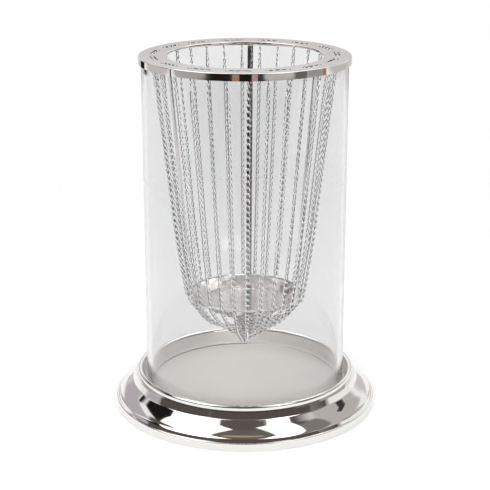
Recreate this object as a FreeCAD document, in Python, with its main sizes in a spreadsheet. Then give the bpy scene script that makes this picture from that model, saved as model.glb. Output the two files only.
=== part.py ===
import FreeCAD, Part
import math
import os

import Sketcher
from FreeCAD import Placement, Rotation, Vector

# A candle holder: a spun base, a glass cylinder that stands in its recess, a ring that
# lies on the glass, a dish hung from the ring by three straps, and one long chain laced
# through the ring in fifteen swags that cross under the dish.
# Millimetres and degrees, +Z up. The origin is the middle of the base's underside, and
# the back strap lies on the +Y side.

SIZES = {
    # Glass cylinder
    "glass_radius": 63.5,
    "glass_wall": 3.0,
    "glass_height": 211.0,
    "glass_edge_round": 0.6,
    # Base, from the recess round the glass out to the band
    "recess_clearance": 2.5,
    "recess_floor_height": 13.0,
    "recess_round": 1.2,
    "bead_width": 3.5,
    "bead_height": 3.6,
    "bead_flat": 0.2,
    "bead_fold": 2.4,
    "dome_top_width": 1.4,
    "hollow_width": 1.7,
    "hollow_rise": 3.8,
    "hollow_round": 6.0,
    "swell_width": 5.8,
    "swell_rise": 4.8,
    "swell_round": 6.0,
    "dome_foot_width": 2.7,
    "dome_foot_rise": 3.8,
    "foot_bead_width": 1.4,
    "foot_bead_height": 2.0,
    "foot_bead_round": 0.8,
    "ledge_width": 1.2,
    "band_height": 5.2,
    "band_round": 0.6,
    "base_sheet": 1.6,
    "plate_thickness": 1.5,
    "plate_ledge": 1.1,
    "plate_clearance": 0.1,
    # Ring
    "flange_clearance": 0.6,
    "flange_wall": 0.9,
    "flange_height": 4.4,
    "ring_plate": 1.5,
    "ring_reach": 15.5,
    "ring_edge_round": 0.4,
    "hole_inset": 8.6,
    "hole_diameter": 3.2,
    "slot_pairs": 7,
    "slot_depth": 0.8,
    # Dish
    "dish_inset": 11.6,
    "dish_flare": 8.4,
    "dish_depth": 5.6,
    "dish_sheet": 0.9,
    "dish_rim_height": 1.2,
    "dish_rim_width": 1.3,
    "dish_rim_flat": 0.1,
    "dish_lip": 0.3,
    # Straps
    "strap_count": 3,
    "strap_width": 3.5,
    "strap_thickness": 1.0,
    "strap_inset": 2.0,
    "strap_tab_length": 4.5,
    "strap_bend": 1.6,
    "strap_rim_gap": 0.2,
    "strap_wall_gap": 0.1,
    "strap_tail_length": 8.0,
    # Chain, as the flat strip that its curb links fill
    "chain_width": 2.8,
    "chain_thickness": 0.75,
    "belly_gap": 5.5,
    "belly_rise": 35.0,
    "belly_bend": 120.0,
    "shoulder_gap": 1.3,
    "shoulder_drop": 0.3,
    "shoulder_drop_step": 0.16,
    "shoulder_bend": 16.0,
    "shoulder_bend_step": 0.9,
    "bowl_inset": 10.9,
    "bowl_rise": 16.5,
    "bowl_rise_step": 1.05,
    "bowl_bend": 24.0,
    "pile_height": 25.0,
    "pile_drop": 35.3,
    "pile_step": 1.25,
    "pile_bend": 8.0,
    "pile_shift": 1.0,
}

OUT = "parts"

doc = FreeCAD.newDocument("candle_holder")
sheet = doc.addObject("Spreadsheet::Sheet", "sizes")
for row, (alias, number) in enumerate(SIZES.items(), start=1):
    sheet.set(f"A{row}", alias)
    sheet.set(f"B{row}", str(number))
    sheet.setAlias(f"B{row}", alias)
doc.recompute()


class Size:
    """A number together with the formula that gives it from the sheet."""

    def __init__(self, value, formula):
        self.value = value
        self.formula = formula

    def __add__(self, other):
        other = as_size(other)
        return Size(self.value + other.value, f"({self.formula} + {other.formula})")

    def __sub__(self, other):
        other = as_size(other)
        return Size(self.value - other.value, f"({self.formula} - {other.formula})")

    def __mul__(self, other):
        other = as_size(other)
        return Size(self.value * other.value, f"({self.formula} * {other.formula})")

    def __truediv__(self, other):
        other = as_size(other)
        return Size(self.value / other.value, f"({self.formula} / {other.formula})")

    def __neg__(self):
        return Size(-self.value, f"(0 - {self.formula})")


def as_size(number):
    return number if isinstance(number, Size) else Size(number, repr(number))


def cell(alias):
    return Size(float(sheet.get(alias)), f"sizes.{alias}")


def sine(angle):
    return Size(math.sin(math.radians(angle.value)), f"sin({angle.formula} * 1 deg)")


def cosine(angle):
    return Size(math.cos(math.radians(angle.value)), f"cos({angle.formula} * 1 deg)")


def root(number):
    return Size(math.sqrt(number.value), f"sqrt({number.formula})")


# Radii that several pieces share, all from the glass
RECESS_RADIUS = cell("glass_radius") + cell("recess_clearance")
BEAD_RADIUS = RECESS_RADIUS + cell("bead_width")
DOME_TOP_RADIUS = BEAD_RADIUS + cell("dome_top_width")
HOLLOW_RADIUS = DOME_TOP_RADIUS + cell("hollow_width")
SWELL_RADIUS = HOLLOW_RADIUS + cell("swell_width")
DOME_FOOT_RADIUS = SWELL_RADIUS + cell("dome_foot_width")
LEDGE_RADIUS = DOME_FOOT_RADIUS + cell("foot_bead_width")
BASE_RADIUS = LEDGE_RADIUS + cell("ledge_width")
FLANGE_BORE = cell("glass_radius") + cell("flange_clearance")
RING_RADIUS = FLANGE_BORE + cell("flange_wall")
RING_INNER_RADIUS = cell("glass_radius") - cell("ring_reach")
HOLE_CIRCLE_RADIUS = RING_INNER_RADIUS + cell("hole_inset")
DISH_RADIUS = RING_INNER_RADIUS - cell("dish_inset")
DISH_FLOOR_RADIUS = DISH_RADIUS - cell("dish_flare")

# Heights that several pieces share
GLASS_FOOT = cell("recess_floor_height")
RING_UNDERSIDE = GLASS_FOOT + cell("glass_height")
RING_TOP = RING_UNDERSIDE + cell("ring_plate")
SLOT_FLOOR = RING_TOP - cell("slot_depth")
PILE_FOOT = GLASS_FOOT + cell("pile_height")
DISH_RIM = PILE_FOOT + cell("pile_drop")
DISH_FLOOR = DISH_RIM - cell("dish_depth")
DISH_UNDERSIDE = DISH_FLOOR - cell("dish_sheet")
DISH_WALL_TOP = DISH_RIM - cell("dish_rim_height")
DISH_RISE = DISH_WALL_TOP - DISH_UNDERSIDE
DISH_RUN = cell("dish_flare")
DISH_SLOPE = root(DISH_RUN * DISH_RUN + DISH_RISE * DISH_RISE)

# The number of slots is odd, so that one chain can be laced through all of them.
SLOT_COUNT = cell("slot_pairs") * 2 + 1
SLOTS = int(SLOT_COUNT.value)
STRAPS = int(cell("strap_count").value)
HOLE_ANGLE = as_size(180.0) / SLOT_COUNT
HALF_HOLE_ANGLE = HOLE_ANGLE / 2


def new_body(label):
    body = doc.addObject("PartDesign::Body", label)
    body.Label = label
    return body


def new_sketch(body, name, role):
    """A sketch on the body's own plane of that role."""
    sketch = body.newObject("Sketcher::SketchObject", name)
    for plane in body.Origin.OriginFeatures:
        if plane.Role == role:
            sketch.AttachmentSupport = [(plane, "")]
    sketch.MapMode = "FlatFace"
    return sketch


def lift(sketch, height):
    """Raises a level sketch to a height."""
    sketch.AttachmentOffset = Placement(Vector(0, 0, height.value), Rotation())
    sketch.setExpression(".AttachmentOffset.Base.z", height.formula)


def bind(sketch, kind, ends, size):
    """Adds a constraint of that kind and ties it to the sheet."""
    index = sketch.addConstraint(Sketcher.Constraint(kind, *ends, size.value))
    sketch.setExpression(f"Constraints[{index}]", size.formula)


def pin(sketch, geometry, vertex, corner):
    """Holds a point of the sketch at a corner's two coordinates."""
    bind(sketch, "DistanceX", (-1, 1, geometry, vertex), corner[0])
    bind(sketch, "DistanceY", (-1, 1, geometry, vertex), corner[1])


def rounding(before, at, after, radius):
    """Where a fillet between two lines starts and ends, its arc, and whether it turns left."""
    towards = (at - before).normalize()
    away = (after - at).normalize()
    turn = towards.getAngle(away)
    reach = radius * math.tan(turn / 2)
    entry = at - towards * reach
    leaving = at + away * reach
    left = towards.cross(away).z > 0
    side = Vector(-towards.y, towards.x, 0) * (radius if left else -radius)
    centre = entry + side
    first, last = (entry, leaving) if left else (leaving, entry)
    start = math.atan2(first.y - centre.y, first.x - centre.x)
    end = math.atan2(last.y - centre.y, last.x - centre.x)
    if end < start:
        end += 2 * math.pi
    circle = Part.Circle(centre, Vector(0, 0, 1), radius)
    return entry, leaving, Part.ArcOfCircle(circle, start, end), left


def draw(sketch, corners, closed):
    """Lines from corner to corner. A corner is (x, y) or, to round it, (x, y, radius)."""
    corners = [tuple(as_size(number) for number in corner) for corner in corners]
    points = [Vector(corner[0].value, corner[1].value, 0) for corner in corners]
    count = len(points)
    turns = {}
    for at, corner in enumerate(corners):
        if len(corner) == 3:
            turns[at] = rounding(points[at - 1], points[at], points[(at + 1) % count], corner[2].value)
    lines = []
    for at in range(count if closed else count - 1):
        after = (at + 1) % count
        start = turns[at][1] if at in turns else points[at]
        end = turns[after][0] if after in turns else points[after]
        lines.append(sketch.addGeometry(Part.LineSegment(start, end), False))
    for at, corner in enumerate(corners):
        if at in turns:
            arc = sketch.addGeometry(turns[at][2], False)
            first, last = (1, 2) if turns[at][3] else (2, 1)
            point = sketch.addGeometry(Part.Point(points[at]), True)
            sketch.addConstraint(Sketcher.Constraint("Tangent", lines[at - 1], 2, arc, first))
            sketch.addConstraint(Sketcher.Constraint("Tangent", lines[at], 1, arc, last))
            sketch.addConstraint(Sketcher.Constraint("PointOnObject", point, 1, lines[at - 1]))
            sketch.addConstraint(Sketcher.Constraint("PointOnObject", point, 1, lines[at]))
            bind(sketch, "Radius", (arc,), corner[2])
            pin(sketch, point, 1, corner)
        elif at < len(lines):
            if closed or at > 0:
                sketch.addConstraint(Sketcher.Constraint("Coincident", lines[at - 1], 2, lines[at], 1))
            pin(sketch, lines[at], 1, corner)
        else:
            pin(sketch, lines[at - 1], 2, corner)


def turned(body, corners):
    """The solid that a section makes when it is turned about the Z axis."""
    section = new_sketch(body, "section", "XZ_Plane")
    draw(section, corners, closed=True)
    turning = body.newObject("PartDesign::Revolution", "turning")
    turning.Profile = section
    turning.ReferenceAxis = (section, ["V_Axis"])
    turning.Angle = 360
    doc.recompute()


def rectangle(half_x, half_y, middle_x=0.0):
    """The four corners of a rectangle whose middle is on the sketch's X axis."""
    middle_x = as_size(middle_x)
    return [
        (middle_x - half_x, -half_y),
        (middle_x + half_x, -half_y),
        (middle_x + half_x, half_y),
        (middle_x - half_x, half_y),
    ]


def bent_strip(body, corners, width, thickness):
    """A flat strip that follows a route in the body's XZ plane."""
    route = new_sketch(body, "route", "XZ_Plane")
    draw(route, corners, closed=False)
    start = Vector(as_size(corners[0][0]).value, 0, as_size(corners[0][1]).value)
    second = Vector(as_size(corners[1][0]).value, 0, as_size(corners[1][1]).value)
    along = second - start
    lean = math.degrees(math.atan2(along.x, along.z))
    section = new_sketch(body, "section", "XY_Plane")
    section.AttachmentOffset = Placement(start, Rotation(Vector(0, 1, 0), lean))
    draw(section, rectangle(thickness / 2, width / 2), closed=True)
    doc.recompute()
    strip = body.newObject("PartDesign::AdditivePipe", "strip")
    strip.Profile = section
    strip.Spine = route
    doc.recompute()
    return route


def base():
    """The spun base: band, foot bead, waved dome, rim bead and the recess for the glass."""
    floor = cell("recess_floor_height")
    band = cell("band_height")
    metal = cell("base_sheet")
    dome_foot = band + cell("foot_bead_height")
    swell = dome_foot + cell("dome_foot_rise")
    hollow = swell + cell("swell_rise")
    dome_top = hollow + cell("hollow_rise")
    bead_top = dome_top + cell("bead_height")
    bead_round = (cell("bead_width") - cell("bead_flat")) / 2
    fold = dome_top - cell("bead_fold")
    inner_radius = BASE_RADIUS - metal
    corners = [
        (0.0, floor),
        (RECESS_RADIUS, floor, cell("recess_round")),
        (RECESS_RADIUS, bead_top, bead_round),
        (BEAD_RADIUS, bead_top, bead_round),
        (BEAD_RADIUS, dome_top),
        (DOME_TOP_RADIUS, dome_top),
        (HOLLOW_RADIUS, hollow, cell("hollow_round")),
        (SWELL_RADIUS, swell, cell("swell_round")),
        (DOME_FOOT_RADIUS, dome_foot),
        (LEDGE_RADIUS, dome_foot, cell("foot_bead_round")),
        (LEDGE_RADIUS, band),
        (BASE_RADIUS, band, cell("band_round")),
        (BASE_RADIUS, 0.0),
        (inner_radius, 0.0),
        (inner_radius, cell("plate_thickness")),
        (inner_radius - cell("plate_ledge"), cell("plate_thickness")),
        (DOME_FOOT_RADIUS - metal, dome_foot - metal),
        (SWELL_RADIUS - metal, swell - metal),
        (HOLLOW_RADIUS - metal, hollow - metal),
        (BEAD_RADIUS, fold),
        (RECESS_RADIUS + metal, fold),
        (RECESS_RADIUS + metal, floor - metal),
        (0.0, floor - metal),
    ]
    body = new_body("base")
    turned(body, corners)


def base_plate():
    """The disc that closes the base's underside."""
    radius = BASE_RADIUS - cell("base_sheet") - cell("plate_clearance")
    body = new_body("base_plate")
    outline = new_sketch(body, "outline", "XY_Plane")
    circle = outline.addGeometry(Part.Circle(Vector(0, 0, 0), Vector(0, 0, 1), radius.value), False)
    outline.addConstraint(Sketcher.Constraint("Coincident", circle, 3, -1, 1))
    bind(outline, "Radius", (circle,), radius)
    disc = body.newObject("PartDesign::Pad", "disc")
    disc.Profile = outline
    disc.setExpression("Length", cell("plate_thickness").formula)
    doc.recompute()


def glass_cylinder():
    """The glass, open at both ends, which stands on the floor of the recess."""
    outer = cell("glass_radius")
    inner = outer - cell("glass_wall")
    edge = cell("glass_edge_round")
    corners = [
        (inner, GLASS_FOOT, edge),
        (outer, GLASS_FOOT, edge),
        (outer, RING_UNDERSIDE, edge),
        (inner, RING_UNDERSIDE, edge),
    ]
    body = new_body("glass_cylinder")
    turned(body, corners)


def top_ring():
    """The ring on the glass: its flange, and the slots that the chain is laced through."""
    edge = cell("ring_edge_round")
    skirt = RING_TOP - cell("flange_height")
    corners = [
        (RING_INNER_RADIUS, RING_UNDERSIDE, edge),
        (FLANGE_BORE, RING_UNDERSIDE),
        (FLANGE_BORE, skirt),
        (RING_RADIUS, skirt),
        (RING_RADIUS, RING_TOP, edge),
        (RING_INNER_RADIUS, RING_TOP, edge),
    ]
    body = new_body("top_ring")
    turned(body, corners)
    hole_radius = cell("hole_diameter") / 2
    chord = HOLE_CIRCLE_RADIUS * cosine(HALF_HOLE_ANGLE)
    reach = HOLE_CIRCLE_RADIUS * sine(HALF_HOLE_ANGLE)
    ends = [(chord, -reach), (chord, reach)]

    slot = new_sketch(body, "slot", "XY_Plane")
    lift(slot, RING_TOP)
    near, far = chord - hole_radius, chord + hole_radius
    sides = []
    for side in (near, far):
        low = Vector(side.value, -reach.value, 0)
        high = Vector(side.value, reach.value, 0)
        line = slot.addGeometry(Part.LineSegment(low, high), False)
        pin(slot, line, 1, (side, -reach))
        pin(slot, line, 2, (side, reach))
        sides.append(line)
    for vertex, end, start in ((1, ends[0], math.pi), (2, ends[1], 0.0)):
        middle = Vector(end[0].value, end[1].value, 0)
        circle = Part.Circle(middle, Vector(0, 0, 1), hole_radius.value)
        arc = slot.addGeometry(Part.ArcOfCircle(circle, start, start + math.pi), False)
        first, last = (sides[0], sides[1]) if vertex == 1 else (sides[1], sides[0])
        slot.addConstraint(Sketcher.Constraint("Coincident", arc, 1, first, vertex))
        slot.addConstraint(Sketcher.Constraint("Coincident", arc, 2, last, vertex))
        bind(slot, "DistanceY", (-1, 1, arc, 3), end[1])
    slot_pocket = body.newObject("PartDesign::Pocket", "slot_pocket")
    slot_pocket.Profile = slot
    slot_pocket.setExpression("Length", cell("slot_depth").formula)
    doc.recompute()

    holes = new_sketch(body, "holes", "XY_Plane")
    lift(holes, RING_TOP)
    for end in ends:
        middle = Vector(end[0].value, end[1].value, 0)
        circle = holes.addGeometry(Part.Circle(middle, Vector(0, 0, 1), hole_radius.value), False)
        pin(holes, circle, 3, end)
        bind(holes, "Radius", (circle,), hole_radius)
    hole_pocket = body.newObject("PartDesign::Pocket", "hole_pocket")
    hole_pocket.Profile = holes
    hole_pocket.setExpression("Length", (cell("ring_plate") + cell("flange_height")).formula)
    doc.recompute()

    lacing = body.newObject("PartDesign::PolarPattern", "lacing")
    lacing.Originals = [slot_pocket, hole_pocket]
    lacing.Axis = (slot, ["N_Axis"])
    lacing.Angle = 360
    lacing.setExpression("Occurrences", SLOT_COUNT.formula)
    body.Tip = lacing
    # A slot's middle lies one hole's angle off the back strap.
    turn = 90 - HOLE_ANGLE.value
    body.Placement = Placement(Vector(0, 0, 0), Rotation(Vector(0, 0, 1), turn))
    doc.recompute()


def candle_dish():
    """The shallow dish that holds the candle."""
    rim_round = (cell("dish_rim_width") - cell("dish_rim_flat")) / 2
    wall_inner_radius = DISH_RADIUS - cell("dish_rim_width")
    corners = [
        (0.0, DISH_FLOOR),
        (DISH_FLOOR_RADIUS - cell("dish_sheet") / 2, DISH_FLOOR),
        (wall_inner_radius, DISH_WALL_TOP + cell("dish_lip")),
        (wall_inner_radius, DISH_RIM, rim_round),
        (DISH_RADIUS, DISH_RIM, rim_round),
        (DISH_RADIUS, DISH_WALL_TOP),
        (DISH_FLOOR_RADIUS, DISH_UNDERSIDE),
        (0.0, DISH_UNDERSIDE),
    ]
    body = new_body("candle_dish")
    turned(body, corners)


def straps():
    """The straps that hang the dish: a tab under the ring, a leg and a tail along the dish."""
    thickness = cell("strap_thickness")
    bend = cell("strap_bend")
    tab = RING_UNDERSIDE - thickness / 2
    leg_radius = RING_INNER_RADIUS + cell("strap_inset")
    leg_foot_radius = DISH_RADIUS + cell("strap_rim_gap") + thickness / 2
    off_wall = (cell("strap_wall_gap") + thickness / 2) * DISH_SLOPE / DISH_RUN
    past_wall = (leg_foot_radius - DISH_RADIUS) * DISH_RISE / DISH_RUN
    leg_foot = DISH_WALL_TOP + past_wall - off_wall
    tail_run = cell("strap_tail_length") * DISH_RUN / DISH_SLOPE
    tail_rise = cell("strap_tail_length") * DISH_RISE / DISH_SLOPE
    corners = [
        (leg_radius + cell("strap_tab_length"), tab),
        (leg_radius, tab, bend),
        (leg_foot_radius, leg_foot, bend),
        (leg_foot_radius - tail_run, leg_foot - tail_rise),
    ]
    names = ("strap_back", "strap_left", "strap_right")
    for number in range(STRAPS):
        body = new_body(names[number] if STRAPS == len(names) else f"strap_{number + 1}")
        bent_strip(body, corners, cell("strap_width"), thickness)
        turn = 90 + number * 360 / STRAPS
        body.Placement = Placement(Vector(0, 0, 0), Rotation(Vector(0, 0, 1), turn))


def chain_swag(number):
    """One swag of the chain with the bridge that takes it through a slot to the next swag."""
    turn = 90 - HALF_HOLE_ANGLE.value - number * HOLE_ANGLE.value
    # Swags side by side in the ring lie two levels apart in the pile under the dish.
    level = (-2 * number) % SLOTS
    shift = cell("pile_shift") * math.cos(math.radians(turn))
    shoulder_radius = DISH_RADIUS + cell("shoulder_gap")
    shoulder = DISH_RIM - cell("shoulder_drop") - cell("shoulder_drop_step") * level
    shoulder_bend = cell("shoulder_bend") - cell("shoulder_bend_step") * level
    belly_radius = shoulder_radius + cell("belly_gap")
    belly = shoulder + cell("belly_rise")
    pile = PILE_FOOT + cell("pile_step") * level
    bowl_radius = DISH_RADIUS - cell("bowl_inset")
    bowl = pile + cell("bowl_rise") - cell("bowl_rise_step") * level
    thickness = cell("chain_thickness")
    corners = [
        (-HOLE_CIRCLE_RADIUS, RING_TOP),
        (-belly_radius, belly, cell("belly_bend")),
        (-shoulder_radius, shoulder, shoulder_bend),
        (-bowl_radius, bowl, cell("bowl_bend")),
        (shift, pile, cell("pile_bend")),
        (bowl_radius, bowl, cell("bowl_bend")),
        (shoulder_radius, shoulder, shoulder_bend),
        (belly_radius, belly, cell("belly_bend")),
        (HOLE_CIRCLE_RADIUS, RING_TOP),
    ]
    body = new_body(f"chain_{number + 1:02d}")
    route = bent_strip(body, corners, cell("chain_width"), thickness)
    section_area = cell("chain_width").value * thickness.value
    print(body.Label, "strip over section times length:", body.Shape.Volume / (section_area * route.Shape.Length))

    level_ends = new_sketch(body, "level_ends", "XY_Plane")
    lift(level_ends, SLOT_FLOOR)
    reach = HOLE_CIRCLE_RADIUS + cell("chain_width")
    draw(level_ends, rectangle(reach, cell("chain_width")), closed=True)
    trim = body.newObject("PartDesign::Pocket", "trim")
    trim.Profile = level_ends
    trim.Reversed = True
    trim.setExpression("Length", (cell("slot_depth") * 2).formula)
    doc.recompute()

    bridge_outline = new_sketch(body, "bridge_outline", "XY_Plane")
    side = 0 if number % 2 == 0 else 180
    to_chord = Rotation(Vector(0, 0, 1), side - HALF_HOLE_ANGLE.value)
    bridge_outline.AttachmentOffset = Placement(Vector(0, 0, SLOT_FLOOR.value), to_chord)
    bridge_outline.setExpression(".AttachmentOffset.Base.z", SLOT_FLOOR.formula)
    chord = HOLE_CIRCLE_RADIUS * cosine(HALF_HOLE_ANGLE)
    half_length = HOLE_CIRCLE_RADIUS * sine(HALF_HOLE_ANGLE) + thickness / 2
    draw(bridge_outline, rectangle(cell("chain_width") / 2, half_length, chord), closed=True)
    bridge = body.newObject("PartDesign::Pad", "bridge")
    bridge.Profile = bridge_outline
    bridge.setExpression("Length", thickness.formula)
    body.Placement = Placement(Vector(0, 0, 0), Rotation(Vector(0, 0, 1), turn))
    doc.recompute()


base()
base_plate()
glass_cylinder()
top_ring()
candle_dish()
straps()
for swag in range(SLOTS):
    chain_swag(swag)
doc.recompute()

for part in doc.Objects:
    if "Invalid" in part.State or "Error" in part.State:
        raise RuntimeError(f"{part.Label} failed: {part.State}")

os.makedirs(OUT, exist_ok=True)
for part in doc.Objects:
    if part.TypeId == "PartDesign::Body":
        if part.Shape.isNull() or not part.Shape.isValid() or len(part.Shape.Solids) != 1:
            raise RuntimeError(f"{part.Label} has no sound single solid")
        part.Shape.exportStep(f"{OUT}/{part.Label}.step")
        print(part.Label, "volume in cubic mm:", round(part.Shape.Volume, 1))
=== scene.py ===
import math

import bmesh
import bpy
import numpy as np
from mathutils import Euler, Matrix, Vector


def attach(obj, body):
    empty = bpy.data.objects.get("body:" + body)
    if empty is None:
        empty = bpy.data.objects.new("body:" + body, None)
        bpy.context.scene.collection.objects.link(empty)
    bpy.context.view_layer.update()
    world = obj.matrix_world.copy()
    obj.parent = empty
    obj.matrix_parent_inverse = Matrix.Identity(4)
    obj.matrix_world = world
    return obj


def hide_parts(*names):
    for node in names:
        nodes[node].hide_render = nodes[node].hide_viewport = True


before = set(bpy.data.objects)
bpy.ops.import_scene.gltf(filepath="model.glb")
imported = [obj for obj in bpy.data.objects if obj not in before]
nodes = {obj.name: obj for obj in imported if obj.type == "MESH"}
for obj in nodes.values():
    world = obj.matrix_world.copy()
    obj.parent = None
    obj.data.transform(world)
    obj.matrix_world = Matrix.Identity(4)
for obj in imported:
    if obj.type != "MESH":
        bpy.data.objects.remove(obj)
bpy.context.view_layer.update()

MM = 0.001
OBJECT_MIDDLE = Vector((0, 0, 0.1))

# The ring and the chain's route, in millimetres and degrees, with the source's sizes
RING_TOP = 225.5
HOLE_CIRCLE = 56.6
HOLE_ANGLE = 12.0
FIRST_SWAG = 84.0
SWAGS = 15
BRIDGE_HEIGHT = 225.08
BRIDGE_BEND = 1.2
BELLY_GAP = 5.5
BELLY_RISE = 35.0
BELLY_BEND = 120.0
SHOULDER_RADIUS = 37.7
SHOULDER = 73.0
SHOULDER_STEP = 0.16
SHOULDER_BEND = 16.0
SHOULDER_BEND_STEP = 0.9
BOWL_RADIUS = 25.5
BOWL_RISE = 16.5
BOWL_RISE_STEP = 1.05
BOWL_BEND = 24.0
PILE_FOOT = 38.0
PILE_STEP = 1.25
PILE_BEND = 8.0
PILE_SHIFT = 1.0
CHAIN_ARC_STEPS = 24

# Section of the spun base: radius, height and the radius that rounds the corner
BASE_SECTION = [
    (0.0, 13.0, 0.0),
    (66.0, 13.0, 1.2),
    (66.0, 23.2, 1.65),
    (69.5, 23.2, 1.65),
    (69.5, 19.6, 0.0),
    (70.9, 19.6, 0.0),
    (72.6, 15.8, 1.8),
    (78.4, 11.0, 26.0),
    (81.1, 7.2, 0.0),
    (81.5, 6.9, 0.2),
    (82.3, 5.2, 0.0),
    (83.7, 5.2, 0.6),
    (83.7, 0.0, 0.0),
    (82.1, 0.0, 0.0),
    (82.1, 1.5, 0.0),
    (81.0, 1.5, 0.0),
    (79.5, 5.6, 0.0),
    (76.8, 9.4, 0.0),
    (71.0, 14.2, 0.0),
    (69.5, 17.2, 0.0),
    (67.6, 17.2, 0.0),
    (67.6, 11.4, 0.0),
    (0.0, 11.4, 0.0),
]
BASE_ARC_STEPS = 16
BASE_TURNS = 256
BASE_SHARP_ANGLE = 32.0
# Points of the base this near to each other, in metres, are one
BASE_WELD = 0.000001

# Curb links, in millimetres and degrees
LINK_PITCH = 3.9
LINK_HALF_LENGTH = 2.37
LINK_HALF_WIDTH = 1.03
LINK_WIRE = 0.41
LINK_TWIST = 54.0
LINK_FLATNESS = 0.9
LINK_STEPS = 16
WIRE_SIDES = 6

# How the links lie, in millimetres and degrees. In a slot they are turned and flatter, at the
# pile the swag sways sideways, and between the two the links lean.
SLOT_REACH = 2.0
SLOT_EASE = 24.0
SLOT_FLATNESS = 0.55
SLOT_TWIST = 90.0
PILE_REACH = 34.0
PILE_SWAY = 1.3
FREE_FROM = 22.0
FREE_EASE = 18.0
LEAN = 20.0
LEAN_WAVE = 27.0
JITTER = 3.0
JITTER_SEED = 100
UNDER_RING_TOP = 0.01

# Edges between two finishes. Each fades from its first length to its second, in millimetres.
RECESS_UNDERSIDE = (12.5, 12.7)
RECESS_BRIM = (21.3, 21.7)
RECESS_WALL = (66.1, 66.4)
DISH_WALL = (28.5, 31.0)
DISH_RIM = (34.5, 35.0)
SLOT_FLOOR = (224.2, 224.3)
SLOT_MOUTH = (225.0, 225.15)
SLOT_INSIDE = (54.5, 54.7)
SLOT_OUTSIDE = (58.5, 58.7)
FLOOR_HOLE = (74.0, 78.0)
FLOOR_FADE = (250.0, 700.0)

# How satin the dish's sloping wall is, against its floor
DISH_WALL_SATIN = 0.45

# A ring texture of scale 1 repeats after this many metres
RING_TEXTURE_PERIOD = 0.314

# Colours
NICKEL = (0.80, 0.785, 0.765)
SATIN_RECESS = (0.84, 0.80, 0.76)
SATIN_DISH = (0.78, 0.745, 0.71)
# Painted shade in the floors and sides of the ring's slots
SLOT_SHADE = (0.10, 0.095, 0.09)
CHAIN_BRIGHT = (1.0, 1.0, 0.995)
CHAIN_RUBBED = (0.92, 0.92, 0.915)
# Painted shade in the hollows of the chain's links
CHAIN_HOLLOW_SHADE = (0.015, 0.015, 0.015)
GLASS = (0.86, 0.86, 0.865)
GLASS_SHADOW = (0.86, 0.865, 0.865)
BOARD_DARK = (0.20, 0.195, 0.185)
BOARD_PALE = (0.27, 0.26, 0.25)
FLOOR_GREY = (0.82, 0.82, 0.82)
WHITE = (1.0, 1.0, 1.0)
BRIGHT = (2.4, 2.4, 2.4)
BRIGHTER = (3.5, 3.5, 3.5)
DARK_ROOM = (0.10, 0.085, 0.078)
BLACK = (0.012, 0.010, 0.010)
PALE_FLOOR = (0.60, 0.565, 0.56)


def add_node(tree, kind, **settings):
    node = tree.nodes.new(kind)
    for name, value in settings.items():
        setattr(node, name, value)
    return node


def new_material(name):
    """A material with its node tree and its Principled shader."""
    material = bpy.data.materials.new(name)
    material.use_nodes = True
    tree = material.node_tree
    return material, tree, tree.nodes["Principled BSDF"]


def new_object(name, data):
    """An object in the scene with this mesh, lamp or camera."""
    thing = bpy.data.objects.new(name, data)
    bpy.context.scene.collection.objects.link(thing)
    return thing


def coordinates(tree):
    return add_node(tree, "ShaderNodeTexCoord").outputs["Object"]


def noise(tree, scale, detail=2.0):
    texture = add_node(tree, "ShaderNodeTexNoise")
    texture.inputs["Scale"].default_value = scale
    texture.inputs["Detail"].default_value = detail
    tree.links.new(coordinates(tree), texture.inputs["Vector"])
    return texture.outputs["Fac"]


def spread(tree, value, lowest, highest, start=0.3, end=0.7):
    """Takes a value from start..end to lowest..highest."""
    node = add_node(tree, "ShaderNodeMapRange")
    node.inputs["From Min"].default_value = start
    node.inputs["From Max"].default_value = end
    node.inputs["To Min"].default_value = lowest
    node.inputs["To Max"].default_value = highest
    tree.links.new(value, node.inputs["Value"])
    return node.outputs["Result"]


def within(tree, length, edge):
    """1 for a length up to the edge and 0 beyond it."""
    start, end = edge
    return spread(tree, length, 1.0, 0.0, start * MM, end * MM)


def beyond(tree, length, edge):
    """0 for a length up to the edge and 1 beyond it."""
    start, end = edge
    return spread(tree, length, 0.0, 1.0, start * MM, end * MM)


def combined(tree, operation, first, *others):
    """All the values taken together, as their product or the largest of them."""
    for other in others:
        node = add_node(tree, "ShaderNodeMath", operation=operation)
        tree.links.new(first, node.inputs[0])
        tree.links.new(other, node.inputs[1])
        first = node.outputs["Value"]
    return first


def between(tree, factor, first, second):
    """A number between two others."""
    node = add_node(tree, "ShaderNodeMix", data_type="FLOAT")
    tree.links.new(factor, node.inputs["Factor"])
    for socket, value in (("A", first), ("B", second)):
        if isinstance(value, float):
            node.inputs[socket].default_value = value
        else:
            tree.links.new(value, node.inputs[socket])
    return node.outputs["Result"]


def tint(tree, factor, first, second):
    """A colour between two others."""
    node = add_node(tree, "ShaderNodeMix", data_type="RGBA")
    tree.links.new(factor, node.inputs["Factor"])
    for socket, value in (("A", first), ("B", second)):
        colour = next(s for s in node.inputs if s.name == socket and s.type == "RGBA")
        if isinstance(value, tuple):
            colour.default_value = (*value, 1.0)
        else:
            tree.links.new(value, colour)
    return next(s for s in node.outputs if s.type == "RGBA")


def bump(tree, height, strength, distance, below=None):
    node = add_node(tree, "ShaderNodeBump")
    node.inputs["Strength"].default_value = strength
    node.inputs["Distance"].default_value = distance
    tree.links.new(height, node.inputs["Height"])
    if below is not None:
        tree.links.new(below, node.inputs["Normal"])
    return node.outputs["Normal"]


def either_shader(tree, factor, first, second, output):
    """Shows the first shader where the factor is 0 and the second where it is 1."""
    either = add_node(tree, "ShaderNodeMixShader")
    tree.links.new(factor, either.inputs["Fac"])
    tree.links.new(first, either.inputs[1])
    tree.links.new(second, either.inputs[2])
    tree.links.new(either.outputs["Shader"], output.inputs["Surface"])


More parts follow.
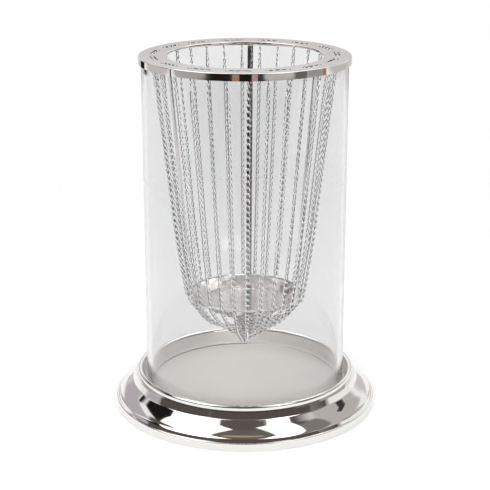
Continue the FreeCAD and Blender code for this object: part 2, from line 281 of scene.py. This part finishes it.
def radius_and_height(tree):
    """Distance from the Z axis and height of a point of the object, in metres."""
    parts = add_node(tree, "ShaderNodeSeparateXYZ")
    tree.links.new(coordinates(tree), parts.inputs["Vector"])
    flat = add_node(tree, "ShaderNodeCombineXYZ")
    tree.links.new(parts.outputs["X"], flat.inputs["X"])
    tree.links.new(parts.outputs["Y"], flat.inputs["Y"])
    length = add_node(tree, "ShaderNodeVectorMath", operation="LENGTH")
    tree.links.new(flat.outputs["Vector"], length.inputs[0])
    return length.outputs["Value"], parts.outputs["Z"]


def turned_rings(tree, pitch):
    """Fine rings round the Z axis, as turning and polishing leave them."""
    rings = add_node(tree, "ShaderNodeTexWave", wave_type="RINGS", rings_direction="Z")
    rings.inputs["Scale"].default_value = RING_TEXTURE_PERIOD / pitch
    rings.inputs["Distortion"].default_value = 1.5
    rings.inputs["Detail"].default_value = 2.0
    tree.links.new(coordinates(tree), rings.inputs["Vector"])
    return rings.outputs["Fac"]


def mirror_roughness(tree):
    """Polish that is a little duller in some places than in others."""
    return spread(tree, noise(tree, scale=70.0), lowest=0.03, highest=0.075)


def sheet_wave(tree):
    """The slow unevenness of polished sheet metal."""
    return bump(tree, noise(tree, scale=28.0, detail=1.0), strength=0.12, distance=0.0006)


def polished_nickel():
    material, tree, shader = new_material("polished_nickel")
    shader.inputs["Base Color"].default_value = (*NICKEL, 1.0)
    shader.inputs["Metallic"].default_value = 1.0
    tree.links.new(mirror_roughness(tree), shader.inputs["Roughness"])
    wave = sheet_wave(tree)
    scuffs = bump(tree, noise(tree, scale=1400.0), strength=0.02, distance=0.00002, below=wave)
    tree.links.new(scuffs, shader.inputs["Normal"])
    return material


def part_satin_or_shaded_nickel(name, satin_or_shade_share, colour, metallic, roughness, ring_strength):
    """Polished nickel that turns satin, or near black with painted shade as in the ring's slots,
    where the share says so.
    """
    material, tree, shader = new_material(name)
    share = satin_or_shade_share(tree)
    shader.inputs["Metallic"].default_value = 1.0
    if metallic < 1.0:
        tree.links.new(between(tree, share, 1.0, metallic), shader.inputs["Metallic"])
    grain = spread(tree, noise(tree, scale=45.0, detail=3.0), 0.0, 1.0)
    satin_or_shade = tint(tree, grain, colour, tuple(0.95 * x for x in colour))
    tree.links.new(tint(tree, share, NICKEL, satin_or_shade), shader.inputs["Base Color"])
    polished = mirror_roughness(tree)
    dull = spread(tree, noise(tree, scale=120.0), 0.95 * roughness, 1.05 * roughness)
    tree.links.new(between(tree, share, polished, dull), shader.inputs["Roughness"])
    wave = sheet_wave(tree)
    ring_depth = between(tree, share, 0.0, turned_rings(tree, pitch=0.0007))
    rings = bump(tree, ring_depth, ring_strength, distance=0.00003, below=wave)
    tree.links.new(rings, shader.inputs["Normal"])
    return material


def recess_share(tree):
    """1 on the floor and wall of the base's recess, 0 outside it."""
    radius, height = radius_and_height(tree)
    inside = within(tree, radius, RECESS_WALL)
    above = beyond(tree, height, RECESS_UNDERSIDE)
    under_bead = within(tree, height, RECESS_BRIM)
    return combined(tree, "MULTIPLY", inside, above, under_bead)


def dish_share(tree):
    """1 on the dish's floor, less on its sloping wall and 0 on its rim."""
    radius, _ = radius_and_height(tree)
    start, end = DISH_WALL
    less = spread(tree, radius, 1.0, DISH_WALL_SATIN, start * MM, end * MM)
    return combined(tree, "MULTIPLY", within(tree, radius, DISH_RIM), less)


def slot_shade_share(tree):
    """1 on the floors and sides of the ring's slots, where painted shade darkens the ring, 0 on
    the rest of it.
    """
    radius, height = radius_and_height(tree)
    outside = within(tree, radius, SLOT_OUTSIDE)
    inside = beyond(tree, radius, SLOT_INSIDE)
    below = within(tree, height, SLOT_MOUTH)
    above = beyond(tree, height, SLOT_FLOOR)
    return combined(tree, "MULTIPLY", outside, inside, below, above)


def chain_nickel():
    """Bright wire, with painted shade darkening the hollows of the links."""
    material, tree, shader = new_material("chain_nickel")
    shader.inputs["Metallic"].default_value = 0.35
    hollow_shade = add_node(tree, "ShaderNodeAttribute", attribute_name="hollow_shade").outputs["Fac"]
    rubbed = tint(tree, noise(tree, scale=900.0), CHAIN_BRIGHT, CHAIN_RUBBED)
    # Painted shade: the side of each wire that faces its link's middle turns near black
    shade = spread(tree, hollow_shade, 0.0, 1.0, start=0.22, end=0.7)
    colour = tint(tree, shade, rubbed, CHAIN_HOLLOW_SHADE)
    tree.links.new(colour, shader.inputs["Base Color"])
    roughness = spread(tree, noise(tree, scale=900.0), lowest=0.03, highest=0.07)
    tree.links.new(roughness, shader.inputs["Roughness"])
    pits = bump(tree, noise(tree, scale=1200.0), strength=0.1, distance=0.00005)
    tree.links.new(pits, shader.inputs["Normal"])
    return material


def clear_glass():
    """Clear glass that lets the lamps' light through to what stands inside it."""
    material, tree, shader = new_material("clear_glass")
    shader.inputs["Base Color"].default_value = (*GLASS, 1.0)
    shader.inputs["Transmission Weight"].default_value = 1.0
    shader.inputs["IOR"].default_value = 1.47
    smears = spread(tree, noise(tree, scale=40.0), lowest=0.0, highest=0.006)
    tree.links.new(smears, shader.inputs["Roughness"])
    wave = bump(tree, noise(tree, scale=22.0, detail=1.0), strength=0.008, distance=0.0005)
    tree.links.new(wave, shader.inputs["Normal"])
    path = add_node(tree, "ShaderNodeLightPath")
    clear = add_node(tree, "ShaderNodeBsdfTransparent")
    clear.inputs["Color"].default_value = (*GLASS_SHADOW, 1.0)
    either_shader(
        tree,
        path.outputs["Is Shadow Ray"],
        shader.outputs["BSDF"],
        clear.outputs["BSDF"],
        tree.nodes["Material Output"],
    )
    return material


def base_board():
    """Grey board under the base, pressed from fine fibres."""
    material, tree, shader = new_material("base_board")
    fibres = noise(tree, scale=420.0, detail=6.0)
    shade = spread(tree, fibres, 0.0, 1.0)
    colours = tint(tree, shade, BOARD_DARK, BOARD_PALE)
    tree.links.new(colours, shader.inputs["Base Color"])
    tree.links.new(spread(tree, fibres, lowest=0.75, highest=0.9), shader.inputs["Roughness"])
    tree.links.new(bump(tree, fibres, strength=0.3, distance=0.0002), shader.inputs["Normal"])
    return material


def dress(material, *names):
    for name in names:
        slots = nodes[name].data.materials
        slots.clear()
        slots.append(material)


def on_circle(radius, degrees, height):
    angle = math.radians(degrees)
    return Vector((radius * math.cos(angle), radius * math.sin(angle), height))


def swag_corners(number):
    """Corners of a swag and its bridge, each with the radius that rounds it."""
    turn = FIRST_SWAG - HOLE_ANGLE * number
    level = (-2 * number) % SWAGS
    shift = PILE_SHIFT * math.cos(math.radians(turn))
    shoulder = SHOULDER - SHOULDER_STEP * level
    shoulder_bend = SHOULDER_BEND - SHOULDER_BEND_STEP * level
    pile = PILE_FOOT + PILE_STEP * level
    side = 0.0 if number % 2 == 0 else 180.0
    half = [
        (HOLE_CIRCLE, BRIDGE_HEIGHT, BRIDGE_BEND),
        (SHOULDER_RADIUS + BELLY_GAP, shoulder + BELLY_RISE, BELLY_BEND),
        (SHOULDER_RADIUS, shoulder, shoulder_bend),
        (BOWL_RADIUS, pile + BOWL_RISE - BOWL_RISE_STEP * level, BOWL_BEND),
    ]
    down = [(on_circle(-radius, turn + side, height), bend) for radius, height, bend in half]
    up = [(on_circle(radius, turn + side, height), bend) for radius, height, bend in half[::-1]]
    bridge_end = (on_circle(HOLE_CIRCLE, turn + side - HOLE_ANGLE, BRIDGE_HEIGHT), 0.0)
    return [*down, (on_circle(shift, turn, pile), PILE_BEND), *up, bridge_end]


def rounded(corners, arc_steps):
    """Points along a route with round corners."""
    points = [corners[0][0]]
    for (before, _), (at, radius), (after, _) in zip(corners, corners[1:], corners[2:]):
        if radius == 0.0:
            points.append(at)
            continue
        towards = (at - before).normalized()
        away = (after - at).normalized()
        turn = towards.angle(away)
        centre = at + (away - towards).normalized() * radius / math.cos(turn / 2)
        reach = radius * math.tan(turn / 2)
        entry = at - towards * reach - centre
        leaving = at + away * reach - centre
        for step in range(arc_steps + 1):
            share = step / arc_steps
            near = math.sin((1 - share) * turn) / math.sin(turn)
            far = math.sin(share * turn) / math.sin(turn)
            points.append(centre + entry * near + leaving * far)
    points.append(corners[-1][0])
    return points


def turned_piece(name, node, corners, material):
    """A section of (radius, height, rounding) corners, in millimetres, turned round the Z axis."""
    ring = [(Vector((radius, 0.0, height)), bend) for radius, height, bend in corners]
    section = rounded([*ring, ring[0]], BASE_ARC_STEPS)[:-1]
    heights = np.array([point.z for point in section])
    radii = np.array([point.x for point in section])
    angles = 2 * np.pi * np.arange(BASE_TURNS) / BASE_TURNS
    points = np.stack(
        [
            np.outer(np.cos(angles), radii).ravel(),
            np.outer(np.sin(angles), radii).ravel(),
            np.tile(heights, BASE_TURNS),
        ],
        axis=1,
    )
    count = len(section)
    faces = []
    for turn in range(BASE_TURNS):
        here, beside = turn * count, ((turn + 1) % BASE_TURNS) * count
        for at in range(count - 1):
            faces.append((here + at, beside + at, beside + at + 1, here + at + 1))
    mesh = bpy.data.meshes.new(name)
    mesh.from_pydata((points * MM).tolist(), [], faces)
    form = bmesh.new()
    form.from_mesh(mesh)
    bmesh.ops.remove_doubles(form, verts=form.verts, dist=BASE_WELD)
    bmesh.ops.recalc_face_normals(form, faces=form.faces)
    form.to_mesh(mesh)
    form.free()
    mesh.shade_smooth()
    mesh.set_sharp_from_angle(angle=math.radians(BASE_SHARP_ANGLE))
    mesh.materials.append(material)
    piece = new_object(name, mesh)
    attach(piece, "root")
    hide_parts(node)


def evenly(points, pitch):
    """Places along the route one pitch apart, with the direction at each."""
    ends = np.array(points)
    steps = np.linalg.norm(np.diff(ends, axis=0), axis=1)
    along = np.concatenate([[0.0], np.cumsum(steps)])
    count = round(along[-1] / pitch)
    places = (np.arange(count) + 0.5) * along[-1] / count

    def at(distances):
        return np.stack([np.interp(distances, along, ends[:, axis]) for axis in range(3)], axis=1)

    directions = at(places + pitch / 2) - at(places - pitch / 2)
    directions /= np.linalg.norm(directions, axis=1)[:, None]
    return at(places), directions, places, along[-1]


def carried_across(directions, first):
    """A sideways direction carried along the route without turning round it."""
    sideways = [first]
    for direction in directions[1:]:
        flat = sideways[-1] - direction * np.dot(sideways[-1], direction)
        sideways.append(flat / np.linalg.norm(flat))
    return np.array(sideways)


def link_form():
    """Points of one curb link about its own middle, X along the chain and Y across it."""
    rows = []
    straight = LINK_HALF_LENGTH - LINK_HALF_WIDTH
    for step in range(LINK_STEPS):
        angle = 2 * math.pi * (step + 0.5) / LINK_STEPS
        end = straight if math.cos(angle) > 0 else -straight
        x = end + LINK_HALF_WIDTH * math.cos(angle)
        y = LINK_HALF_WIDTH * math.sin(angle)
        middle = Vector((x, y, 0.0))
        outwards = Vector((math.cos(angle), math.sin(angle), 0.0))
        for side in range(WIRE_SIDES):
            turn = 2 * math.pi * side / WIRE_SIDES
            radial = outwards * math.cos(turn) + Vector((0, 0, math.sin(turn)))
            point = middle + radial * LINK_WIRE
            twist = -math.radians(LINK_TWIST) * point.x / LINK_HALF_LENGTH
            across = point.y * math.cos(twist) - point.z * math.sin(twist)
            up = point.y * math.sin(twist) + point.z * math.cos(twist)
            rows.append((point.x, across, up))
    return np.array(rows)


def link_faces():
    faces = []
    for step in range(LINK_STEPS):
        here = step * WIRE_SIDES
        after = (step + 1) % LINK_STEPS * WIRE_SIDES
        for side in range(WIRE_SIDES):
            beside = (side + 1) % WIRE_SIDES
            faces.append((here + side, after + side, after + beside, here + beside))
    return np.array(faces)


def eased(share):
    """A smooth rise in place of a straight one from 0 to 1."""
    return share * share * (3.0 - 2.0 * share)


def chain_swag(number, material):
    """Curb links along one swag and its bridge."""
    corners = swag_corners(number)
    route = rounded(corners, CHAIN_ARC_STEPS)
    centres, directions, places, length = evenly(route, LINK_PITCH)
    plane = on_circle(1.0, FIRST_SWAG - HOLE_ANGLE * number + 90.0, 0.0)
    across = carried_across(directions, np.array(plane))

    bridge = (corners[-1][0] - corners[-2][0]).length
    from_ring = np.minimum(places, np.maximum(length - bridge - places, 0.0))
    in_slot = eased(1.0 - np.clip((from_ring - SLOT_REACH) / SLOT_EASE, 0.0, 1.0))
    from_axis = np.hypot(centres[:, 0], centres[:, 1])
    free = np.clip((from_axis - FREE_FROM) / FREE_EASE, 0.0, 1.0) * (1.0 - in_slot)
    near_pile = np.clip(1.0 - from_axis / PILE_REACH, 0.0, 1.0)

    # The phases change with the number, so that no two swags lie alike
    sway = PILE_SWAY * math.sin(1.9 * number + 0.6) * eased(near_pile)
    centres = centres + np.array(plane) * sway[:, None]
    random = np.random.default_rng(JITTER_SEED + number)
    lean = LEAN * math.sin(2.4 * number) + LEAN * np.sin(places / LEAN_WAVE + 1.7 * number)
    jitter = random.uniform(-JITTER, JITTER, len(places))
    turn = SLOT_TWIST * in_slot + free * lean + jitter * (1.0 - in_slot)
    twist = np.radians(turn)[:, None]
    upright = np.cross(directions, across)
    wide = across * np.cos(twist) + upright * np.sin(twist)
    deep = np.cross(directions, wide)
    flatness = LINK_FLATNESS + (SLOT_FLATNESS - LINK_FLATNESS) * in_slot

    form = link_form()
    points = (
        centres[:, None, :]
        + directions[:, None, :] * form[None, :, 0, None]
        + wide[:, None, :] * form[None, :, 1, None]
        + deep[:, None, :] * form[None, :, 2, None] * flatness[:, None, None]
    ).reshape(-1, 3)
    points[:, 2] = np.minimum(points[:, 2], RING_TOP - UNDER_RING_TOP)
    first_points = len(form) * np.arange(len(places))
    faces = (link_faces()[None] + first_points[:, None, None]).reshape(-1, 4)

    node = f"chain_{number + 1:02d}"
    mesh = bpy.data.meshes.new(f"curb_{node}")
    mesh.from_pydata((points * MM).tolist(), [], faces.tolist())
    # 0 on the outside of a link and 1 on the side that faces its own middle, where the material
    # paints shade
    hollow_shade = 0.5 - 0.5 * np.cos(2 * np.pi * np.arange(WIRE_SIDES) / WIRE_SIDES)
    hollow_shade = np.tile(hollow_shade, LINK_STEPS * len(places)).astype(np.float32)
    mesh.attributes.new("hollow_shade", "FLOAT", "POINT").data.foreach_set("value", hollow_shade)
    mesh.shade_smooth()
    mesh.materials.append(material)
    piece = new_object(f"curb_{node}", mesh)
    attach(piece, "root")
    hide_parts(node)


def around(azimuth, elevation, distance):
    """A place seen from the object's middle. Azimuth 0 is the camera's side and 90 its right."""
    turn, tilt = math.radians(azimuth), math.radians(elevation)
    flat = math.cos(tilt)
    towards = Vector((math.sin(turn) * flat, -math.cos(turn) * flat, math.sin(tilt)))
    return OBJECT_MIDDLE + towards * distance


def facing_object(place):
    """The turn that points a lamp, or a card's back, at the object's middle."""
    return (Vector(place) - OBJECT_MIDDLE).to_track_quat("Z", "Y").to_euler()


def distance_from_middle(tree):
    """0 at the middle of a card and 1 along its edge."""
    texture = add_node(tree, "ShaderNodeTexCoord")
    centred = add_node(tree, "ShaderNodeVectorMath", operation="MULTIPLY_ADD")
    tree.links.new(texture.outputs["Generated"], centred.inputs[0])
    centred.inputs[1].default_value = (2.0, 2.0, 0.0)
    centred.inputs[2].default_value = (-1.0, -1.0, 0.0)
    outwards = add_node(tree, "ShaderNodeVectorMath", operation="ABSOLUTE")
    tree.links.new(centred.outputs["Vector"], outwards.inputs[0])
    parts = add_node(tree, "ShaderNodeSeparateXYZ")
    tree.links.new(outwards.outputs["Vector"], parts.inputs["Vector"])
    return combined(tree, "MAXIMUM", parts.outputs["X"], parts.outputs["Y"])


def glossy_card(name, place, width, height, colour, level=False):
    """A soft-edged card that only shows in gloss, level or facing the object."""
    mesh = bpy.data.meshes.new(name)
    x, y = width / 2, height / 2
    mesh.from_pydata([(-x, -y, 0), (x, -y, 0), (x, y, 0), (-x, y, 0)], [], [(0, 1, 2, 3)])
    card = new_object(name, mesh)
    card.location = place
    if level:
        card.rotation_euler.z = math.atan2(place[0], -place[1])
    else:
        card.rotation_euler = facing_object(place)
    card.visible_camera = False
    card.visible_diffuse = False
    card.visible_shadow = False
    material, tree, _ = new_material(name)
    tree.nodes.clear()
    inside = spread(tree, distance_from_middle(tree), 1.0, 0.0, start=0.8, end=1.0)
    bounces = add_node(tree, "ShaderNodeLightPath").outputs["Glossy Depth"]
    in_gloss = spread(tree, bounces, 0.0, 1.0, start=0.0, end=1.0)
    clear = add_node(tree, "ShaderNodeBsdfTransparent")
    glow = add_node(tree, "ShaderNodeEmission")
    glow.inputs["Color"].default_value = (*colour, 1.0)
    either_shader(
        tree,
        combined(tree, "MULTIPLY", inside, in_gloss),
        clear.outputs["BSDF"],
        glow.outputs["Emission"],
        add_node(tree, "ShaderNodeOutputMaterial"),
    )
    mesh.materials.append(material)


def seen_directly(tree):
    """1 for the rays that the camera, metal and glass send out, 0 for the rest."""
    path = add_node(tree, "ShaderNodeLightPath")
    rays = ("Is Camera Ray", "Is Glossy Ray", "Is Transmission Ray")
    return combined(tree, "MAXIMUM", *(path.outputs[ray] for ray in rays))


def white_world(light, seen):
    """White all round: its strength as light on the scene, and where it is seen directly."""
    world = bpy.data.worlds.new("studio")
    bpy.context.scene.world = world
    world.use_nodes = True
    tree = world.node_tree
    tree.nodes.clear()
    backgrounds = []
    for strength in (light, seen):
        background = add_node(tree, "ShaderNodeBackground")
        background.inputs["Color"].default_value = (*WHITE, 1.0)
        background.inputs["Strength"].default_value = strength
        backgrounds.append(background.outputs["Background"])
    output = add_node(tree, "ShaderNodeOutputWorld")
    either_shader(tree, seen_directly(tree), *backgrounds, output)


def floor(half_width, depth, glow):
    """A pale floor that fades into the white round it, open to a view from below."""
    mesh = bpy.data.meshes.new("floor")
    x = y = half_width
    mesh.from_pydata([(-x, -y, 0), (x, -y, 0), (x, y, 0), (-x, y, 0)], [], [(0, 1, 2, 3)])
    ground = new_object("floor", mesh)
    ground.location.z = -depth
    material, tree, shader = new_material("floor")
    shader.inputs["Base Color"].default_value = (*FLOOR_GREY, 1.0)
    shader.inputs["Roughness"].default_value = 0.9
    shader.inputs["Specular IOR Level"].default_value = 0.0
    shader.inputs["Emission Color"].default_value = (*WHITE, 1.0)
    lift = spread(tree, seen_directly(tree), 0.0, glow, start=0.0, end=1.0)
    tree.links.new(lift, shader.inputs["Emission Strength"])
    radius, _ = radius_and_height(tree)
    far_out = beyond(tree, radius, FLOOR_FADE)
    under_base = within(tree, radius, FLOOR_HOLE)
    from_below = add_node(tree, "ShaderNodeNewGeometry").outputs["Backfacing"]
    either_shader(
        tree,
        combined(tree, "MAXIMUM", far_out, under_base, from_below),
        shader.outputs["BSDF"],
        add_node(tree, "ShaderNodeBsdfTransparent").outputs["BSDF"],
        tree.nodes["Material Output"],
    )
    mesh.materials.append(material)


def softbox(name, azimuth, elevation, distance, width, height, power, in_gloss):
    """A rectangular lamp that faces the object."""
    lamp = bpy.data.lights.new(name, "AREA")
    lamp.shape = "RECTANGLE"
    lamp.size = width
    lamp.size_y = height
    lamp.energy = power
    light = new_object(name, lamp)
    light.location = around(azimuth, elevation, distance)
    light.rotation_euler = facing_object(light.location)
    light.visible_glossy = in_gloss


def camera(focal_length, sensor, azimuth, distance, height, pitch):
    """A camera at this distance from the Z axis that looks at the axis, pitched down."""
    lens = bpy.data.cameras.new("camera")
    lens.lens = focal_length
    lens.sensor_width = sensor
    view = new_object("camera", lens)
    heading = math.radians(azimuth)
    view.location = (distance * math.sin(heading), -distance * math.cos(heading), height)
    view.rotation_euler = Euler((math.radians(90.0 - pitch), 0.0, heading))
    bpy.context.scene.camera = view


camera(focal_length=102.3, sensor=36.0, azimuth=4.0, distance=0.8441, height=0.3681, pitch=17.38)
white_world(light=0.55, seen=1.0)
floor(half_width=4.0, depth=0.2 * MM, glow=0.27)

# Azimuth, elevation, distance, width, height, power and whether it shows in gloss
lamps = {
    "softbox_left": (-59.0, 49.0, 1.15, 0.95, 0.8, 3.0, True),
    "softbox_right": (50.0, 49.0, 1.15, 0.5, 0.8, 1.8, True),
    "front_fill": (8.0, 12.0, 1.3, 1.8, 0.4, 14.5, False),
    "fill": (180.0, 70.0, 1.4, 0.8, 0.8, 3.0, False),
}
for name, settings in lamps.items():
    softbox(name, *settings)
bpy.context.scene.view_settings.view_transform = "Standard"

# What the mirror finish shows of the room: place, width, height and colour
glossy_card("ceiling", (0.0, -1.5, 1.45), 6.0, 3.4, (0.12, 0.105, 0.095), level=True)
glossy_card("front_room", around(2.0, 46.0, 1.5), 1.5, 1.5, (0.15, 0.13, 0.12))
glossy_card("front_bench", around(2.0, 42.0, 1.45), 0.9, 0.14, (0.46, 0.34, 0.23))
for azimuth in (-62.0, 0.0, 62.0):
    glossy_card(f"low_front_{azimuth:.0f}", around(azimuth, 15.0, 1.45), 1.9, 0.8, DARK_ROOM)
glossy_card("left_core", around(-59.0, 49.0, 1.14), 0.88, 0.72, BRIGHT)
glossy_card("right_core", around(50.0, 49.0, 1.14), 0.44, 0.72, BRIGHT)
glossy_card("back_core", around(180.0, 56.0, 1.3), 1.3, 0.6, BRIGHTER)
glossy_card("dark_floor", (0.0, -1.75, 0.001), 6.0, 2.6, (0.05, 0.048, 0.048), level=True)
glossy_card("photographer", (-0.22, -1.22, 0.25), 1.15, 0.5, BLACK)
glossy_card("back_left", around(-112.0, 38.0, 1.3), 1.3, 0.5, BLACK)
glossy_card("far_back_left", around(-136.0, 27.0, 1.28), 0.8, 0.24, BLACK)
glossy_card("low_left", around(-116.0, 10.0, 1.4), 1.7, 0.62, (0.52, 0.48, 0.52))
glossy_card("right_wall", around(112.0, 30.0, 1.42), 1.4, 1.2, (0.55, 0.52, 0.5))
glossy_card("right_corner", around(72.0, 30.0, 1.4), 0.9, 1.1, (0.24, 0.22, 0.205))
glossy_card("right_blotch", around(122.0, 30.0, 1.3), 0.5, 0.14, (0.05, 0.045, 0.045))
glossy_card("backdrop", around(180.0, 4.0, 1.5), 2.4, 0.7, (0.68, 0.65, 0.65))

# Marks on the floor that the ring's flange and the band show: azimuth, width and colour
FLOOR_REACH = 1.3
MARK_DEPTH = 0.26
floor_marks = {
    "back_left_mark": (-137.0, 0.36, BLACK),
    "pink_mark": (-103.0, 1.0, (0.62, 0.57, 0.58)),
    "left_line": (-80.0, 0.05, BLACK),
    "left_mark": (-56.0, 0.95, (0.46, 0.43, 0.42)),
    "front_left_mark": (-21.5, 0.48, (0.02, 0.010, 0.010)),
    "brown_mark": (-5.5, 0.17, (0.40, 0.24, 0.19)),
    "front_mark": (4.5, 0.27, BLACK),
    "front_right_mark": (14.0, 0.14, (0.48, 0.33, 0.28)),
    "pale_mark": (40.0, 0.8, PALE_FLOOR),
    "right_mark": (65.0, 0.34, (0.13, 0.12, 0.115)),
    "right_grey_mark": (82.0, 0.5, (0.34, 0.32, 0.31)),
    "tan_mark": (95.0, 0.15, (0.42, 0.17, 0.07)),
    "far_right_mark": (125.0, 1.2, PALE_FLOOR),
}
for name, (azimuth, width, colour) in floor_marks.items():
    # A paler mark lies a little higher, so that marks of two colours share no plane
    height = 0.003 + 0.1 * colour[2] * MM
    on_floor = on_circle(FLOOR_REACH, azimuth - 90.0, height)
    glossy_card(name, on_floor, width, MARK_DEPTH, colour, level=True)

POLISHED = polished_nickel()
dress(POLISHED, "strap_back", "strap_left", "strap_right")
# The ring's slots get a near-black colour: painted shade in the slot floors and sides
RING = part_satin_or_shaded_nickel("ring_nickel", slot_shade_share, SLOT_SHADE, 0.6, 0.4, 0.0)
dress(RING, "top_ring")
BASE = part_satin_or_shaded_nickel("base_nickel", recess_share, SATIN_RECESS, 0.25, 0.38, 0.2)
turned_piece("spun_base", "base", BASE_SECTION, BASE)
DISH = part_satin_or_shaded_nickel("dish_nickel", dish_share, SATIN_DISH, 1.0, 0.20, 0.03)
dress(DISH, "candle_dish")
dress(clear_glass(), "glass_cylinder")
dress(base_board(), "base_plate")
CHAIN = chain_nickel()
for swag in range(SWAGS):
    chain_swag(swag, CHAIN)
